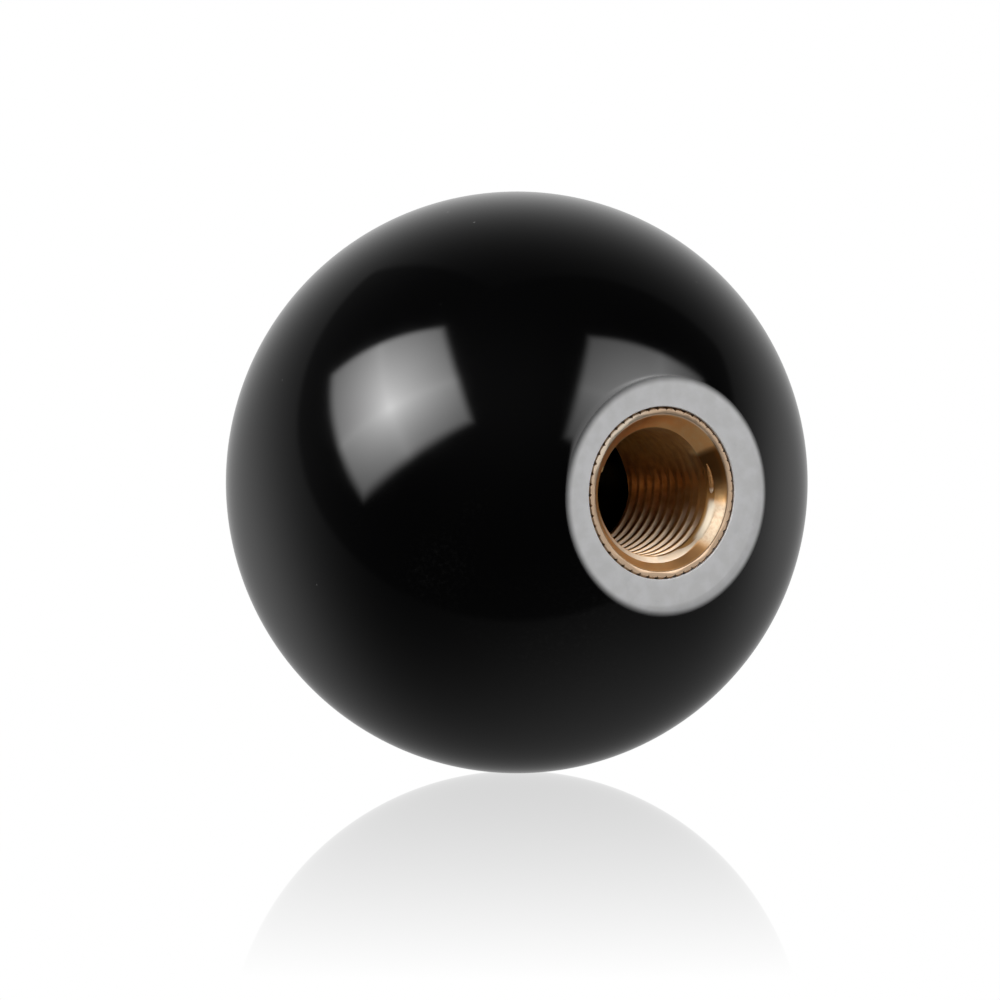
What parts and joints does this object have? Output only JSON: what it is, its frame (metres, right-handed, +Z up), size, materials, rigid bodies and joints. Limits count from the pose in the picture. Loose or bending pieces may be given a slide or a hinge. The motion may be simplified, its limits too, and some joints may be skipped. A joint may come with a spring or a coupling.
{
  "type": "ball knob",
  "caption": "Glossy black ball knob with a flat grey mounting face and a knurled brass insert, threaded for a stud.",
  "frame": {"origin": "centre of the flat mounting face, on the axis of the threaded bore", "axes": "-Y out of the bore's mouth along its axis, +Y into the ball, +Z up as the knob is pictured"},
  "size_m": [0.042, 0.0404, 0.042],
  "materials": {
    "black_moulding": "polished black phenolic moulding; the flat mounting face is ground to a light satin grey",
    "brass": "turned and tapped, bare"
  },
  "bodies": {
    "root": {"ball": "black_moulding", "threaded_insert": "brass"}
  },
  "joints": []
}
